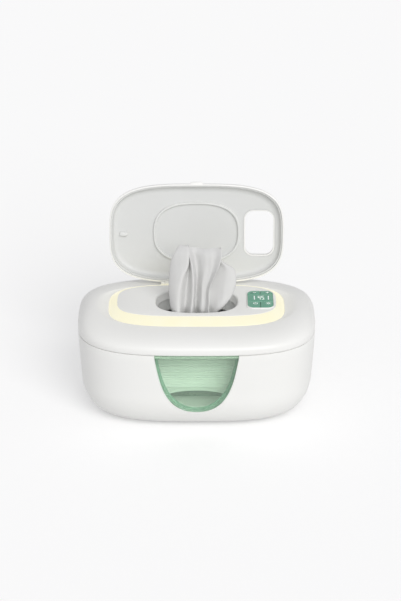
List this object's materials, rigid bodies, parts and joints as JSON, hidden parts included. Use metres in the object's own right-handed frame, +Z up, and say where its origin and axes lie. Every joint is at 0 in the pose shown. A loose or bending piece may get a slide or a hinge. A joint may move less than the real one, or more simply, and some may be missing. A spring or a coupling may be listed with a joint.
{
  "type": "baby wipe warmer",
  "caption": "Oval wipe warmer with hinged top cover, upright flip lid, glowing bevel ring, green display panel and keys, green front window, wipe tub and pulled-up wipe.",
  "frame": {"origin": "middle of the footprint on the table, at the bottom of the four feet", "axes": "+Z up, front with the green window towards -Y, control panel towards +X"},
  "size_m": [0.25, 0.178, 0.2165],
  "materials": {
    "white_shell": "satin moulded ABS, white",
    "inner_white": "matt moulded PP, white",
    "rubber_grey": "matt rubber",
    "green_clear": "clear green polycarbonate, polished",
    "gasket_green": "soft silicone",
    "soft_white": "soft silicone, pale",
    "screw_steel": "zinc plated",
    "pin_steel": "ground wire",
    "heater_alu": "rolled sheet",
    "heater_film": "amber film with etched tracks",
    "pad_felt": "pressed felt",
    "fuse_case": "tinned can",
    "sensor_epoxy": "black epoxy bead",
    "board_green": "solder mask",
    "board_white": "white solder mask",
    "inlet_black": "black moulding",
    "lead_red": "insulated wire",
    "sponge": "open-cell moisture sponge",
    "wipes": "moist nonwoven",
    "glow_bevel": "translucent diffuser, lit warm white",
    "led_phosphor": "lit phosphor",
    "panel_green": "polished green"
  },
  "bodies": {
    "base": {"base_shell": "white_shell", "rubber_feet": "rubber_grey", "front_window": "green_clear", "window_gasket": "gasket_green", "inner_tub": "inner_white", "tub_flange": "inner_white", "tub_frame": "inner_white", "tub_screws": "screw_steel", "heater_plate": "heater_alu", "heater_film": "heater_film", "insulation_pad": "pad_felt", "thermal_fuse": "fuse_case", "temperature_sensor": "sensor_epoxy", "power_board": "board_green", "dc_inlet": "inlet_black", "dc_pin": "pin_steel", "heater_leads": "lead_red", "moisture_pad": "sponge", "wipe_tray": "inner_white", "wipe_stack": "wipes", "cover_hinge_pins": "pin_steel"},
    "cover": {"top_cover": "white_shell", "light_ring": "glow_bevel", "led_board": "board_white", "leds": "led_phosphor", "deck": "white_shell", "cover_liner": "inner_white", "cover_gasket": "soft_white", "cover_screws": "screw_steel", "deck_screws": "screw_steel", "control_board": "board_green", "tact_switches": "inlet_black", "display_module": "inlet_black", "display_lens": "panel_green", "panel_frame": "white_shell", "lid_hinge_pins": "pin_steel", "wipe_tuft": "wipes"},
    "lid": {"lid_shell": "white_shell", "lid_liner": "inner_white", "lid_seal": "soft_white", "lid_bumper": "soft_white"},
    "front_left_key": {"key_front_left": "panel_green"},
    "front_right_key": {"key_front_right": "panel_green"},
    "rear_left_key": {"key_rear_left": "panel_green"},
    "rear_right_key": {"key_rear_right": "panel_green"}
  },
  "joints": [
    {"name": "cover_hinge", "type": "hinge", "parent": "base", "child": "cover", "pos_m": [0, 0.086, 0.09], "axis": [-1, 0, 0], "range_deg": [0, 75]},
    {"name": "lid_hinge", "type": "hinge", "parent": "cover", "child": "lid", "pos_m": [0, 0.0544, 0.1086], "axis": [1, 0, 0], "range_deg": [0, 102], "deforming": ["wipe_tuft"]},
    {"name": "front_left_press", "type": "slide", "parent": "cover", "child": "front_left_key", "axis": [0, 0, -1], "range_m": [0, 0.0006], "stiffness_N_per_m": 1200},
    {"name": "front_right_press", "type": "slide", "parent": "cover", "child": "front_right_key", "axis": [0, 0, -1], "range_m": [0, 0.0006], "stiffness_N_per_m": 1200},
    {"name": "rear_left_press", "type": "slide", "parent": "cover", "child": "rear_left_key", "axis": [0, 0, -1], "range_m": [0, 0.0006], "stiffness_N_per_m": 1200},
    {"name": "rear_right_press", "type": "slide", "parent": "cover", "child": "rear_right_key", "axis": [0, 0, -1], "range_m": [0, 0.0006], "stiffness_N_per_m": 1200}
  ]
}
